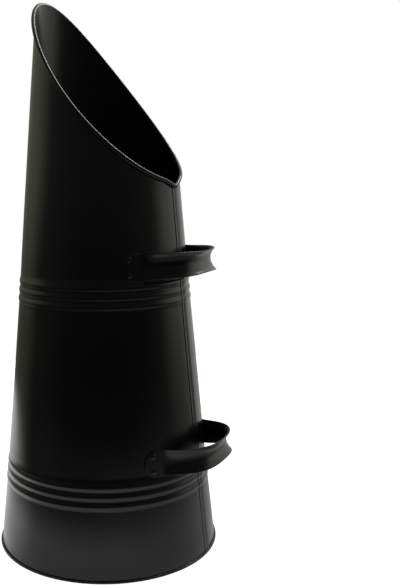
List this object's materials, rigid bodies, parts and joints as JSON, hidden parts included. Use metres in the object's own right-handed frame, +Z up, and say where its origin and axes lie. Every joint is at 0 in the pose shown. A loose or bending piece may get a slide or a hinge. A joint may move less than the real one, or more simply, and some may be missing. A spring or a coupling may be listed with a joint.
{
  "type": "coal scuttle",
  "caption": "Tall tapered sheet-steel coal hod with a slanted pouring mouth, wired rolled edge, raised beads, lock seam and two riveted strap handles.",
  "frame": {"origin": "centre of the foot hem's underside, on the floor", "axes": "+Z up along the body's axis, -Y towards the tip of the pouring lip, +Y towards the lock seam and the two handles"},
  "size_m": [0.27, 0.2916, 0.6503],
  "materials": {
    "body_paint": "satin",
    "base_paint": "satin",
    "handle_paint": "satin",
    "rivet_paint": "satin",
    "wire_steel": "drawn"
  },
  "bodies": {
    "root": {"body_shell": "body_paint", "back_lock_seam": "body_paint", "base_pan": "base_paint", "mouth_rolled_edge": "body_paint", "rim_wire": "wire_steel", "upper_handle": "handle_paint", "lower_handle": "handle_paint", "upper_handle_rivets": "rivet_paint", "lower_handle_rivets": "rivet_paint"}
  },
  "joints": []
}
